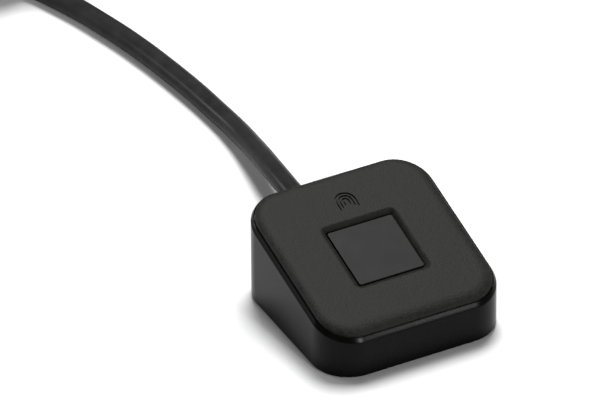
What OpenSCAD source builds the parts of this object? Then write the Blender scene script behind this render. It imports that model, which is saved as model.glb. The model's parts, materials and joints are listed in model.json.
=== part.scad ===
// Corded desktop fingerprint reader: a small wedge with a sloping, softly crowned
// top, a square touch sensor set in a shallow recess, and a USB lead at the back.
// Millimetres. X runs to the right, Y to the back, Z up. Z = 0 is the desk, and the
// origin is the middle of the footprint.

/* [Body] */
// Width of the body across X
body_w = 40; // [38:0.5:44]
// Depth of the body along Y
body_d = 40; // [38:0.5:44]
// Plan radius of the four vertical corners
corner_r = 8; // [7.5:0.1:8.5]
// Height of the rim above the desk at the front wall
front_h = 9.2; // [9:0.1:10]
// Height of the rim above the desk at the back wall
back_h = 19.8; // [19.5:0.1:21]
// Thickness of the housing wall
wall_t = 1.6; // [1.5:0.1:1.7]
// Thickness of the thin lip of the housing around the top cover
rim_t = 0.6; // [0.5:0.05:0.7]
// Gap between that lip and the top cover
seam_gap = 0.2; // [0.1:0.05:0.2]

/* [Top cover] */
// How far the flat of the cover stands above the rim
crown = 1.05; // [0.9:0.05:1.2]
// How far the cover's edge rolls in from its outline
roll_w = 2.6; // [2:0.1:3]
// Thickness of the cover below the rim
cover_t = 1; // [0.9:0.1:1.1]
// Depth of the finger recess below the cover's flat
recess_depth = 0.6; // [0.5:0.05:0.7]
// Width of the bevel around the sensor, left and right
bevel_x = 1.35; // [1.2:0.05:1.5]
// Width of the bevel around the sensor, front and back
bevel_y = 1.1; // [1:0.05:1.3]

/* [Sensor] */
// Side of the square touch sensor
sensor_size = 14.5; // [14:0.1:15]
// Place of the sensor's centre along the slope, from the middle of the body
sensor_v = -0.9; // [-1:0.1:-0.5]
// Side of the sensor's circuit board
sensor_board_size = 18; // [17.6:0.1:18]

/* [Base] */
// Gap between the housing and the desk, left by the foot pad
desk_gap = 0.3; // [0.2:0.05:0.4]
// Thickness of the base plate
base_t = 1.6; // [1.5:0.1:1.7]
// Side of the square rubber foot pad
pad_size = 33; // [32:0.5:33]
// Distance of the four case screws from the middle, along X and Y
screw_pos = 13; // [12.9:0.1:13.1]

/* [Lead] */
// Diameter of the lead
cord_d = 4.6; // [4.5:0.1:4.7]
// Height of the lead's centre where it leaves the back wall
exit_z = 6.8; // [6.7:0.1:6.9]
// Length of the strain relief outside the back wall
relief_len = 13; // [13:0.1:13.2]

/* [USB plug] */
// Width of the plug's metal shell
plug_w = 12; // [12:0.01:12.1]
// Height of the plug's metal shell
plug_h = 4.5; // [4.45:0.01:4.55]
// Length of the plug's metal shell outside its grip
plug_len = 12; // [11.75:0.05:12.25]

/* [Hidden] */
$fn = 48;

// A cut that passes right through a face runs this far past it
past = 1;
// Clearance between a moulded part and the one it drops into
fit_gap = 0.05;
// Clearance around a screw's shank where it passes through, and where it bites
shank_gap = 0.15;
bore_gap = 0.02;
// Facets of a round shape inside a hull
hull_fn = 32;
// Cross recess of a screw, as shares of the head's radius and height
cross_reach = 0.6;
cross_half_w = 0.14;
cross_depth = 0.6;

// Rim plane: its height over the middle of the body, and its slope
mid_h = (front_h + back_h) / 2;
slope = atan((back_h - front_h) / body_d);
half_d = body_d / 2;

// Cover: its outline's inset, the top of its straight edge, and the tops of the
// two bevels that stand in for its rolled edge
cover_inset = rim_t + seam_gap;
edge_top = 0.25;
roll_mid = 0.75;
roll_mid_share = 0.35;
slab_t = 0.02;

// Finger recess: its corner radius at the top, how far the bevel dips below the
// sensor's face, and the gap around the sensor
recess_r = 1.6;
recess_dip = 0.15;
window_gap = 0.12;
tile_r = 0.5;

// Mark on the cover: nested arches, each a half circle with two straight legs
mark_v = 12.3;
mark_depth = 0.25;
mark_line = 0.42;
mark_n = 3;
mark_r = 0.55;
mark_r_step = 0.72;
mark_leg = 1.1;
mark_leg_step = 0.5;

// Base plate: inset from the housing's outer wall, recess for the pad, screw cups
base_inset = wall_t - 0.35;
base_top = desk_gap + base_t;
pad_top = 0.9;
pad_r = 5.8;
pad_gap = 0.2;
cup_r = 2.6;
cup_top = 2.9;
cup_floor = 0.8;
head_r = 1.5;
head_h = 1;
head_gap = 0.2;
head_top = cup_top - cup_floor;
screw_r = 0.8;
screw_len = 5;
boss_r = 2;
boss_drill = 6;

// Ballast plate and the low rib around it
ballast = [18, 13.5, 2.5];
ballast_y = -3.25;
rib_t = 0.6;
rib_h = 1.2;

// Sensor stack, measured from the rim plane along its normal
tile_top = crown - recess_depth;
stack_top = -cover_t;
gasket_t = 0.25;
gasket_inset = 0.1;
gasket_gap = 0.25;
board_top = stack_top - gasket_t;
board_t = 0.6;
board_low = board_top - board_t;
bracket_t = 0.5;
bracket_w = 24.4;
bracket_d = 6;
bracket_v = -2.5;
bracket_slot = [10, 3];
bracket_screw_x = 10.7;
bracket_screw_r = 0.5;
bracket_screw_len = 1.8;
bracket_head_r = 1;
bracket_head_h = 0.5;
bracket_boss_r = 1.5;
bracket_drill = 1.5;

// Main board and what stands on it
pcb_top = 5.8;
pcb_t = 0.8;
pcb_w = 21;
pcb_front = -15;
pcb_back = 8;
pcb_low = pcb_top - pcb_t;
post_r = 1.5;
pcb_screw_at = [[-8.5, 6], [8.5, -13]];
pcb_post_at = [[8.5, 6], [-8.5, -13]];
pcb_screw_r = 0.6;
pcb_screw_head_r = 1.15;
pcb_screw_head_h = 0.7;
pcb_screw_len = 3;
post_floor = 0.3;

// Flat-cable connector with its flip lock
fpc_w = 13;
fpc_front = -10.2;
fpc_back = -5.6;
fpc_h = 2.2;
ear_t = 1.1;
slot_z = pcb_top + 0.75;
flex_w = 8;
flex_t = 0.2;
flex_gap_x = 0.2;
flex_gap_z = 0.05;
flex_hold = 2.2;
flex_run = 5;
flex_in = 2;
latch_y = -7;
latch_z = 7.35;
latch_pin_r = 0.4;
latch_pin_gap = 0.05;
latch_t = 0.9;
latch_len = 2;
latch_nose = 0.45;
latch_side_gap = 0.15;
bay_front = latch_y - 0.85;
bay_floor = pcb_top + 0.6;
contact_pitch = 1;
contact_n = 8;
contact = [0.35, 0.8, 0.15];
latch_pin_len = 0.7;

// Cable connector on the main board
header = [7.2, 4, 3];
header_y = 5.6;
header_wall = 0.5;
receptacle = [5.8, 5.6, 1.8];
receptacle_back = 10.4;
socket_r = 0.32;
wire_n = 4;
wire_pitch = 1.25;
wire_r = 0.42;
wire_z = 7.3;
wire_sides = 8;
wire_straight = 0.7;
wire_bend = 2.4;
pin_s = 0.4;
pin_end = 6.8;
pin_foot = [0.8, 0.2];

// Chips on the main board: centre [x, y], body [x, y, z], and for the legs on each
// long side [how many, pitch, reach]
controller_at = [-5.8, -0.2];
controller = [5, 5, 0.85];
element_at = [4.4, -0.6];
element = [4.9, 3.9, 1.5];
element_legs = [4, 1.27, 0.9];
regulator_at = [9, -0.2];
regulator = [2.9, 1.5, 1.1];
regulator_legs = [3, 0.95, 0.5];
esd_at = [-5.4, 5];
esd = [2, 1.25, 0.9];
esd_legs = [3, 0.65, 0.35];
leg_share = 0.36;
leg_t = 0.15;
dimple_in = 0.6;
dimple_r = 0.25;
dimple_depth = 0.1;

// Crystal, capacitors and resistors on the main board: centres and sizes
crystal_at = [-0.9, -1.4];
crystal_base = [3.2, 2.5, 0.5];
crystal_lid = [2.8, 2.1, 0.25];
capacitor = [1, 0.5, 0.5];
capacitor_at = [
    [-8.2, -9.4], [-8.2, -8], [-8.2, -6.6], [8.2, -9.4], [8.2, -8], [8.2, -6.6],
    [-5.6, -12.4], [-3.8, -13.6], [5.6, -12.4], [-1, 1.6]
];
resistor = [1, 0.5, 0.35];
resistor_at = [[-6, -14.2], [-1.8, -13.6], [0, -13.6], [1.8, -13.6], [3.6, -13.6], [-1, 2.6]];

// Lead, strain relief and where the lead's jacket ends inside
cord_r = cord_d / 2;
cord_sides = 10;
jacket_end_y = 14.2;
flange_r = 4.4;
flange_t = 1.2;
relief_r = 3.45;
relief_hole_r = 3.5;
relief_tip_r = 2.75;
relief_end_y = half_d + relief_len;
sleeve_t = 0.4;
sleeve_from = 14.6;
sleeve_to = 16.8;
core_off = 0.62;

// Free lead from the strain relief to the coil
cord_route = [
    [0, 33, 6.8], [0, 35, 6.8], [0.2, 38, 6.7], [0.8, 44, 6.1], [1.6, 50, 5.2], [2.4, 56, 4.1],
    [3, 62, 3.2], [3.2, 68, 2.6], [3, 74, 2.3], [2.5, 81, 2.3], [1.6, 89, 2.3],
    [0.3, 98, 2.3], [-1.2, 106, 2.3], [-2.9, 113, 2.3], [-4.8, 120, 2.3],
    [-7.7, 128.2, 2.3], [-11.3, 136.2, 2.5], [-15, 144.2, 2.9]
];

// Coil: three turns side by side in two layers, lying on the tie that holds it
coil_x = 14.5;
coil_y = 157;
coil_lift = 0.6;
coil_in = 16.1;
coil_out = 34.5;
coil_h = 2 * cord_d;
coil_top = coil_lift + coil_h;

// Last stretch of the lead, from the coil's upper layer over the coil to the plug
tail_route = [
    [14.3, 188, 7.5], [22.3, 187, 7.8], [30.3, 184, 8.8], [37.3, 179, 10.2], [42.3, 172.6, 11.4],
    [45.7, 165, 12], [46.7, 157, 12.2], [45.5, 149.6, 12.5], [41.3, 143.2, 12.9],
    [34.9, 138.8, 13.4], [28.3, 137, 13.7], [25.3, 137, 13.7]
];

// Tie around the coil
tie_angle = 145;
tie_w = 6;
tie_t = 0.6;
tie_slack = 0.4;

// USB plug: lies on the coil and points along -X
plug_x = 25.3;
plug_y = 137;
grip_w = 15.6;
grip_h = 7.8;
grip_len = 22;
grip_r = 2.4;
plug_z = coil_top + grip_h / 2;
plug_relief_len = 10;
plug_relief_r = 3.3;
plug_relief_wall = 0.3;
shell_t = 0.3;
shell_in_grip = 4;
tongue_h = 1.9;
tongue_gap = 0.3;
tongue_back = 0.6;

// Square holes in the plug's shell: [x, y] size, and place from the tip and the middle
catch_hole = [2, 2.5];
catch_from_tip = 6.5;
catch_y = 2.9;

// Contacts on the plug's tongue: width, thickness, how far behind the tip they
// begin, and for each one [y, how far behind the tip it ends]
pin_w = 1;
pin_t = 0.2;
pin_from_tip = 8.6;
pin_at = [[-3.5, 1.2], [-1, 2.2], [1, 2.2], [3.5, 1.2]];

// Colours
ink = "#242423";
charcoal = "#3c3b39";
soot = "#1c1c1c";

// ---- helpers ----

// Rectangle with round corners, centred
module rounded(w, d, r) {
    square([w - 2 * r, d], center = true);
    square([w, d - 2 * r], center = true);
    for (sx = [-1, 1], sy = [-1, 1])
        translate([sx * (w / 2 - r), sy * (d / 2 - r)])
            circle(r);
}

// The body's outline drawn in by inset, from z0 up to z1
module block(inset, z0, z1) {
    translate([0, 0, z0])
        linear_extrude(z1 - z0)
            rounded(body_w - 2 * inset, body_d - 2 * inset, corner_r - inset);
}

// Children in the frame of the rim plane: X across, Y up the slope, Z its normal
module on_slope() {
    translate([0, 0, mid_h])
        rotate([slope, 0, 0])
            children();
}

// All space above the plane that lies w over the rim plane
module above(w) {
    on_slope()
        translate([-body_w, -body_d, w])
            cube([2 * body_w, 2 * body_d, 2 * back_h]);
}

// The body's outline drawn in by inset, from z0 up to the plane w over the rim
module wedge(inset, z0, w) {
    difference() {
        block(inset, z0, back_h + 2 * crown + past);
        above(w);
    }
}

// A slice of the body's outline between two planes parallel to the rim
module slice(inset, w0, w1) {
    difference() {
        block(inset, 0, back_h + 2 * crown + past);
        above(w1);
        on_slope()
            translate([-body_w, -body_d, w0 - 2 * back_h])
                cube([2 * body_w, 2 * body_d, 2 * back_h]);
    }
}

// A centred box that stands on z = 0
module pad_box(size) {
    translate([-size[0] / 2, -size[1] / 2, 0])
        cube(size);
}

// Children at the four case screws
module at_corners() {
    for (sx = [-1, 1], sy = [-1, 1])
        translate([sx * screw_pos, sy * screw_pos, 0])
            children();
}

// Cylinder along +Y from y0 to y1 around the lead's axis in the back wall
module along_lead(r, y0, y1) {
    translate([0, y0, exit_z])
        rotate([-90, 0, 0])
            cylinder(r = r, h = y1 - y0);
}

function unit(v) = v / norm(v);
function heading(p, i) = unit(p[min(i + 1, len(p) - 1)] - p[max(i - 1, 0)]);
function ring(c, t, r, n) =
    let (side = unit(cross(t, [0, 0, 1])), up = cross(side, t))
    [for (k = [0 : n - 1]) c + r * (cos(360 * k / n) * side + sin(360 * k / n) * up)];

// Round tube of radius r that follows the points p, with n sides
module tube(p, r, n) {
    rings = len(p);
    points = [for (i = [0 : rings - 1]) each ring(p[i], heading(p, i), r, n)];
    sides = [for (i = [0 : rings - 2], k = [0 : n - 1])
        [i * n + k, i * n + (k + 1) % n, (i + 1) * n + (k + 1) % n, (i + 1) * n + k]];
    start_cap = [for (k = [0 : n - 1]) n - 1 - k];
    end_cap = [for (k = [0 : n - 1]) (rings - 1) * n + k];
    polyhedron(points, concat(sides, [start_cap, end_cap]), convexity = 8);
}

// ---- case ----

module housing() {
    color(ink)
        difference() {
            wedge(0, desk_gap, 0);
            wedge(wall_t, desk_gap - past, back_h);
            slice(rim_t, -cover_t, back_h);
            block(base_inset - fit_gap, desk_gap - past, base_top);
            along_lead(relief_hole_r, half_d - 2 * wall_t, half_d + past);
        }
}

module cover_shell() {
    slice(cover_inset, -cover_t, edge_top);
    hull() {
        slice(cover_inset, edge_top - slab_t, edge_top, $fn = hull_fn);
        slice(cover_inset + roll_mid_share * roll_w, roll_mid - slab_t, roll_mid, $fn = hull_fn);
    }
    hull() {
        slice(cover_inset + roll_mid_share * roll_w, roll_mid - slab_t, roll_mid, $fn = hull_fn);
        slice(cover_inset + roll_w, crown - slab_t, crown, $fn = hull_fn);
    }
}

// Bevelled pocket around the sensor, and the window that the sensor shows through
module finger_recess() {
    window = sensor_size + 2 * window_gap;
    on_slope()
        translate([0, sensor_v, 0]) {
            hull() {
                translate([0, 0, crown])
                    linear_extrude(past)
                        rounded(sensor_size + 2 * bevel_x, sensor_size + 2 * bevel_y, recess_r,
                            $fn = hull_fn);
                translate([0, 0, tile_top - recess_dip])
                    linear_extrude(slab_t)
                        rounded(window, window, tile_r, $fn = hull_fn);
            }
            translate([0, 0, -cover_t - past])
                linear_extrude(cover_t + crown + 2 * past)
                    rounded(window, window, tile_r);
        }
}

// Nested arches, a plain sign for a fingertip, cut into the cover
module arch_mark() {
    on_slope()
        translate([0, mark_v, crown - mark_depth])
            for (k = [0 : mark_n - 1]) {
                r = mark_r + mark_r_step * k;
                leg = mark_leg + mark_leg_step * k;
                rotate_extrude(angle = 180)
                    translate([r - mark_line / 2, 0])
                        square([mark_line, past]);
                for (s = [-1, 1])
                    translate([s * r - mark_line / 2, -leg, 0])
                        cube([mark_line, leg, past]);
            }
}

// Children where the two bracket screws enter the cover, along the rim plane's normal
module at_bracket_screws() {
    on_slope()
        for (s = [-1, 1])
            translate([s * bracket_screw_x, bracket_v, board_low])
                children();
}

module cover_bosses() {
    difference() {
        at_corners()
            translate([0, 0, cup_top])
                cylinder(r = boss_r, h = back_h);
        above(-cover_t / 2);
    }
    at_bracket_screws()
        cylinder(r = bracket_boss_r, h = -cover_t / 2 - board_low);
}

module cover_screw_holes() {
    at_corners()
        translate([0, 0, cup_top - past])
            cylinder(r = screw_r + bore_gap, h = boss_drill + past);
    at_bracket_screws()
        translate([0, 0, -past])
            cylinder(r = bracket_screw_r + bore_gap, h = bracket_drill + past);
}

module top_cover() {
    color(charcoal)
        difference() {
            union() {
                cover_shell();
                cover_bosses();
            }
            finger_recess();
            arch_mark();
            cover_screw_holes();
        }
}

module base_plate() {
    nest = [ballast[0] + 2 * fit_gap, ballast[1] + 2 * fit_gap];
    rib_in = [nest[0], nest[1], rib_h + 2 * past];
    rib_out = [nest[0] + 2 * rib_t, nest[1] + 2 * rib_t, rib_h + slab_t];
    color(ink)
        difference() {
            union() {
                block(base_inset, desk_gap, base_top);
                at_corners()
                    translate([0, 0, base_top - slab_t])
                        cylinder(r = cup_r, h = cup_top - base_top + slab_t);
                for (p = concat(pcb_screw_at, pcb_post_at))
                    translate([p[0], p[1], base_top - slab_t])
                        cylinder(r = post_r, h = pcb_low - base_top + slab_t);
                translate([0, ballast_y, base_top - slab_t])
                    difference() {
                        pad_box(rib_out);
                        translate([0, 0, -past])
                            pad_box(rib_in);
                    }
            }
            translate([0, 0, desk_gap - past])
                linear_extrude(pad_top - desk_gap + past)
                    rounded(pad_size + 2 * pad_gap, pad_size + 2 * pad_gap, pad_r + pad_gap);
            at_corners() {
                translate([0, 0, desk_gap])
                    cylinder(r = head_r + head_gap, h = head_top - desk_gap);
                cylinder(r = screw_r + shank_gap, h = cup_top + past);
            }
            for (p = pcb_screw_at)
                translate([p[0], p[1], base_top + post_floor])
                    cylinder(r = pcb_screw_r + bore_gap, h = pcb_low);
        }
}

module foot_pad() {
    color(soot)
        linear_extrude(pad_top)
            rounded(pad_size, pad_size, pad_r);
}

// Pan-head screw with a cross recess: the head's underside is at z = 0, shank up
module screw(hr, hh, r, len) {
    difference() {
        translate([0, 0, -hh])
            cylinder(r = hr, h = hh);
        for (a = [0, 90])
            rotate([0, 0, a])
                translate([-hr * cross_reach, -hr * cross_half_w, -hh - past])
                    cube([2 * hr * cross_reach, 2 * hr * cross_half_w, hh * cross_depth + past]);
    }
    cylinder(r = r, h = len);
}

module base_screws() {
    color("silver")
        at_corners()
            translate([0, 0, head_top])
                screw(head_r, head_h, screw_r, screw_len);
}

module ballast_plate() {
    color("slategray")
        translate([0, ballast_y, base_top])
            pad_box(ballast);
}

// ---- sensor ----

module sensor_tile() {
    color("#474644")
        on_slope()
            translate([0, sensor_v, board_top])
                linear_extrude(tile_top - board_top)
                    rounded(sensor_size, sensor_size, tile_r);
}

module sensor_gasket() {
    color("dimgray")
        on_slope()
            translate([0, sensor_v, board_top])
                linear_extrude(gasket_t)
                    difference() {
                        square(sensor_board_size - 2 * gasket_inset, center = true);
                        square(sensor_size + 2 * gasket_gap, center = true);
                    }
}

module sensor_board() {
    color("darkgreen")
        on_slope()
            translate([0, sensor_v, board_low])
                pad_box([sensor_board_size, sensor_board_size, board_t]);
}

module sensor_bracket() {
    color("silver")
        on_slope()
            translate([0, bracket_v, board_low - bracket_t])
                difference() {
                    pad_box([bracket_w, bracket_d, bracket_t]);
                    for (s = [-1, 1])
                        translate([s * bracket_screw_x, 0, -past])
                            cylinder(r = bracket_screw_r + shank_gap, h = bracket_t + 2 * past);
                    translate([0, 0, -past])
                        pad_box([bracket_slot[0], bracket_slot[1], bracket_t + 2 * past]);
                }
}

module bracket_screws() {
    color("silver")
        at_bracket_screws()
            translate([0, 0, -bracket_t])
                screw(bracket_head_r, bracket_head_h, bracket_screw_r, bracket_screw_len);
}

// Ribbon from under the front edge of the sensor board, round to the connector
module sensor_flex() {
    start_v = sensor_v - sensor_board_size / 2 + flex_hold;
    start = [start_v * cos(slope) - board_low * sin(slope),
        mid_h + start_v * sin(slope) + board_low * cos(slope)];
    turn_from = start - flex_run * [cos(slope), sin(slope)];
    turn_r = (turn_from[1] - slot_z) / (1 + cos(slope));
    turn_at = turn_from + turn_r * [sin(slope), -cos(slope)];
    steps = 14;
    angles = [for (i = [0 : steps]) 90 + slope + (180 - slope) * i / steps];
    slot_end = fpc_front + flex_in;
    color("darkorange")
        translate([-flex_w / 2, 0, 0])
            rotate([90, 0, 90])
                linear_extrude(flex_w)
                    polygon(concat(
                        [start],
                        [for (a = angles) turn_at + turn_r * [cos(a), sin(a)]],
                        [[slot_end, slot_z], [slot_end, slot_z + flex_t]],
                        [for (i = [steps : -1 : 0])
                            turn_at + (turn_r - flex_t) * [cos(angles[i]), sin(angles[i])]],
                        [start + flex_t * [sin(slope), -cos(slope)]]
                    ));
}

// ---- main board ----

// Children standing on the main board at a place [x, y]
module on_pcb(at) {
    translate([at[0], at[1], pcb_top])
        children();
}

module main_pcb() {
    color("darkgreen")
        difference() {
            translate([0, (pcb_front + pcb_back) / 2, pcb_low])
                pad_box([pcb_w, pcb_back - pcb_front, pcb_t]);
            for (p = pcb_screw_at)
                translate([p[0], p[1], pcb_low - past])
                    cylinder(r = pcb_screw_r + shank_gap, h = pcb_t + 2 * past);
        }
}

module pcb_screws() {
    color("silver")
        for (p = pcb_screw_at)
            translate([p[0], p[1], pcb_top])
                rotate([180, 0, 0])
                    screw(pcb_screw_head_r, pcb_screw_head_h, pcb_screw_r, pcb_screw_len);
}

// Chip body with a small pin-one dimple
module chip(size) {
    difference() {
        pad_box(size);
        translate([dimple_in - size[0] / 2, size[1] / 2 - dimple_in, size[2] - dimple_depth])
            cylinder(r = dimple_r, h = past);
    }
}

// Legs along both long sides of a chip that is chip_d deep: row is [how many, pitch, reach]
module legs(row, chip_d) {
    for (i = [0 : row[0] - 1], s = [-1, 1])
        translate([(i - (row[0] - 1) / 2) * row[1], s * (chip_d + row[2]) / 2, 0])
            pad_box([leg_share * row[1], row[2], leg_t]);
}

module usb_controller() {
    color("black")
        on_pcb(controller_at)
            chip(controller);
}

module secure_element() {
    color("black")
        on_pcb(element_at) {
            chip(element);
            legs(element_legs, element[1]);
        }
}

module clock_crystal() {
    color("silver")
        on_pcb(crystal_at) {
            pad_box(crystal_base);
            translate([0, 0, crystal_base[2]])
                pad_box(crystal_lid);
        }
}

module voltage_regulator() {
    color("black")
        on_pcb(regulator_at)
            rotate([0, 0, 90]) {
                chip(regulator);
                legs(regulator_legs, regulator[1]);
            }
}

module esd_array() {
    color("black")
        on_pcb(esd_at) {
            chip(esd);
            legs(esd_legs, esd[1]);
        }
}

module chip_capacitors() {
    color("tan")
        for (p = capacitor_at)
            on_pcb(p)
                pad_box(capacitor);
}

module chip_resistors() {
    color("black")
        for (p = resistor_at)
            on_pcb(p)
                pad_box(resistor);
}

// ---- flat-cable connector ----

// Cylinder of radius r along X, centred on the latch's axis
module along_latch(r, len) {
    translate([-len / 2, latch_y, latch_z])
        rotate([0, 90, 0])
            cylinder(r = r, h = len);
}

module fpc_connector() {
    bay_w = fpc_w - 2 * ear_t;
    color("ivory")
        difference() {
            translate([0, (fpc_front + fpc_back) / 2, pcb_top])
                pad_box([fpc_w, fpc_back - fpc_front, fpc_h]);
            translate([-bay_w / 2, bay_front, bay_floor])
                cube([bay_w, fpc_back - bay_front + past, fpc_h]);
            translate([-flex_w / 2 - flex_gap_x, fpc_front - past, slot_z - flex_gap_z])
                cube([flex_w + 2 * flex_gap_x, bay_front - fpc_front + 2 * past,
                    flex_t + 2 * flex_gap_z]);
            along_latch(latch_pin_r + latch_pin_gap, fpc_w + 2 * past);
        }
}

module fpc_contacts() {
    color("gold")
        for (i = [0 : contact_n - 1])
            on_pcb([(i - (contact_n - 1) / 2) * contact_pitch, fpc_front - contact[1] / 2])
                pad_box(contact);
}

// Flip lock: a bar on two round pins; it stands up to let the ribbon go
module fpc_latch() {
    bar_w = fpc_w - 2 * ear_t - 2 * latch_side_gap;
    color("saddlebrown") {
        translate([-bar_w / 2, latch_y - latch_nose, latch_z - latch_t / 2])
            cube([bar_w, latch_nose + latch_len, latch_t]);
        along_latch(latch_pin_r, fpc_w - 2 * ear_t + 2 * latch_pin_len);
    }
}

// ---- cable connector and wires ----

function pin_x(i) = (i - (wire_n - 1) / 2) * wire_pitch;

module cable_header() {
    color("ivory")
        translate([0, header_y, pcb_top])
            difference() {
                pad_box(header);
                translate([0, header_wall, header_wall])
                    pad_box([header[0] - 2 * header_wall, header[1], header[2] - 2 * header_wall]);
            }
}

module header_pins() {
    back_wall = header_y - header[1] / 2;
    color("gold")
        for (i = [0 : wire_n - 1]) {
            translate([pin_x(i) - pin_s / 2, back_wall + header_wall, wire_z - pin_s / 2])
                cube([pin_s, pin_end - back_wall - header_wall, pin_s]);
            translate([pin_x(i) - pin_s / 2, back_wall - pin_foot[0], pcb_top])
                cube([pin_s, pin_foot[0], pin_foot[1]]);
        }
}

module cable_receptacle() {
    color("white")
        difference() {
            translate([0, receptacle_back - receptacle[1] / 2, wire_z - receptacle[2] / 2])
                pad_box(receptacle);
            for (i = [0 : wire_n - 1])
                translate([pin_x(i), receptacle_back - receptacle[1] - past, wire_z])
                    rotate([-90, 0, 0])
                        cylinder(r = socket_r, h = receptacle[1] / 2 + past);
        }
}

// Wire i of the connector, bent to the place [dx, dz] in the end of the lead
module wire(i, dx, dz) {
    bend_from = [pin_x(i), receptacle_back + wire_straight, wire_z];
    bend_to = [dx, bend_from[1] + wire_bend, exit_z + dz];
    tube([
        bend_from - [0, wire_straight, 0],
        for (k = [0 : 3]) bend_from + (bend_to - bend_from) * k / 3,
        [dx, jacket_end_y, exit_z + dz]
    ], wire_r, wire_sides);
}

module wire_red() {
    color("red")
        wire(0, -core_off, core_off);
}

module wire_white() {
    color("white")
        wire(1, -core_off, -core_off);
}

module wire_green() {
    color("green")
        wire(2, core_off, -core_off);
}

module wire_black() {
    color("black")
        wire(3, core_off, core_off);
}

// ---- lead ----

module crimp_sleeve() {
    color("silver")
        difference() {
            along_lead(cord_r + bore_gap + sleeve_t, sleeve_from, sleeve_to);
            along_lead(cord_r + bore_gap, sleeve_from - past, sleeve_to + past);
        }
}

// Flange inside the back wall, neck through it, and a taper outside
module strain_relief() {
    wall_in = half_d - wall_t;
    color(ink)
        difference() {
            translate([0, 0, exit_z])
                rotate([-90, 0, 0])
                    rotate_extrude()
                        polygon([
                            [0, wall_in - flange_t], [flange_r, wall_in - flange_t],
                            [flange_r, wall_in], [relief_r, wall_in], [relief_r, half_d],
                            [relief_tip_r, relief_end_y], [0, relief_end_y]
                        ]);
            along_lead(cord_r + bore_gap, wall_in - flange_t - past, relief_end_y + past);
        }
}

module cable_end() {
    color(ink)
        along_lead(cord_r, jacket_end_y, relief_end_y);
}

module cord() {
    color(ink)
        tube(cord_route, cord_r, cord_sides);
}

module cord_coil() {
    color(ink)
        translate([coil_x, coil_y, 0])
            rotate_extrude()
                translate([coil_in, coil_lift])
                    square([coil_out - coil_in, coil_h]);
}

module cord_tail() {
    color(ink)
        tube(tail_route, cord_r, cord_sides);
}

module cord_tie() {
    in_w = coil_out - coil_in + 2 * tie_slack;
    in_h = coil_h + 2 * bore_gap;
    color(soot)
        translate([coil_x, coil_y, 0])
            rotate([0, 0, tie_angle])
                translate([(coil_in + coil_out) / 2, 0, 0])
                    difference() {
                        pad_box([in_w + 2 * tie_t, tie_w, in_h + 2 * tie_t]);
                        translate([-in_w / 2, -tie_w, coil_lift - bore_gap])
                            cube([in_w, 2 * tie_w, in_h]);
                    }
}

// ---- USB plug ----

// Children in the plug's frame: X from the lead to the plug's tip
module on_plug() {
    translate([plug_x, plug_y, plug_z])
        rotate([0, 0, 180])
            children();
}

// Box along X from x0 to x1, centred on Y and Z
module bar(x0, x1, w, h) {
    translate([x0, -w / 2, -h / 2])
        cube([x1 - x0, w, h]);
}

module plug_strain_relief() {
    color(ink)
        on_plug()
            rotate([0, 90, 0])
                cylinder(r1 = cord_r + plug_relief_wall, r2 = plug_relief_r, h = plug_relief_len);
}

module plug_grip() {
    grip_end = plug_relief_len + grip_len;
    color(ink)
        on_plug()
            difference() {
                translate([plug_relief_len, 0, 0])
                    rotate([90, 0, 90])
                        linear_extrude(grip_len)
                            rounded(grip_w, grip_h, grip_r);
                bar(grip_end - shell_in_grip, grip_end + past, plug_w + 2 * fit_gap, plug_h + 2 * fit_gap);
            }
}

module plug_shell() {
    shell_from = plug_relief_len + grip_len - shell_in_grip;
    shell_to = shell_from + shell_in_grip + plug_len;
    color("silver")
        on_plug()
            difference() {
                bar(shell_from, shell_to, plug_w, plug_h);
                bar(shell_from + shell_t, shell_to + past, plug_w - 2 * shell_t, plug_h - 2 * shell_t);
                for (s = [-1, 1])
                    translate([shell_to - catch_from_tip, s * catch_y - catch_hole[1] / 2, -plug_h])
                        cube([catch_hole[0], catch_hole[1], 2 * plug_h]);
            }
}

module plug_tongue() {
    tongue_from = plug_relief_len + grip_len - shell_in_grip + shell_t;
    tongue_to = plug_relief_len + grip_len + plug_len - tongue_back;
    color("black")
        on_plug()
            translate([0, 0, (tongue_h - plug_h) / 2 + shell_t])
                bar(tongue_from, tongue_to, plug_w - 2 * shell_t - 2 * tongue_gap, tongue_h);
}

module plug_contacts() {
    tip = plug_relief_len + grip_len + plug_len;
    color("gold")
        on_plug()
            for (pin = pin_at)
                translate([0, pin[0], tongue_h - plug_h / 2 + shell_t + pin_t / 2])
                    bar(tip - pin_from_tip, tip - pin[1], pin_w, pin_t);
}

housing();
top_cover();
base_plate();
foot_pad();
base_screws();
ballast_plate();
sensor_tile();
sensor_gasket();
sensor_board();
sensor_bracket();
bracket_screws();
sensor_flex();
main_pcb();
pcb_screws();
usb_controller();
secure_element();
clock_crystal();
voltage_regulator();
esd_array();
chip_capacitors();
chip_resistors();
fpc_connector();
fpc_contacts();
fpc_latch();
cable_header();
header_pins();
cable_receptacle();
wire_red();
wire_white();
wire_green();
wire_black();
crimp_sleeve();
strain_relief();
cable_end();
cord();
cord_coil();
cord_tail();
cord_tie();
plug_strain_relief();
plug_grip();
plug_shell();
plug_tongue();
plug_contacts();
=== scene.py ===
"""Looks of a corded desktop fingerprint reader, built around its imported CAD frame.

Lengths named in millimetres are turned into metres by MM. The slope frame has X across the
body, v up the slope and w along the slope's normal, with w = 0 at the housing's rim.
"""

import json
from math import atan2, cos, pi, radians, sin, tan

import bmesh
import bpy
from mathutils import Matrix, Vector


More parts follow.
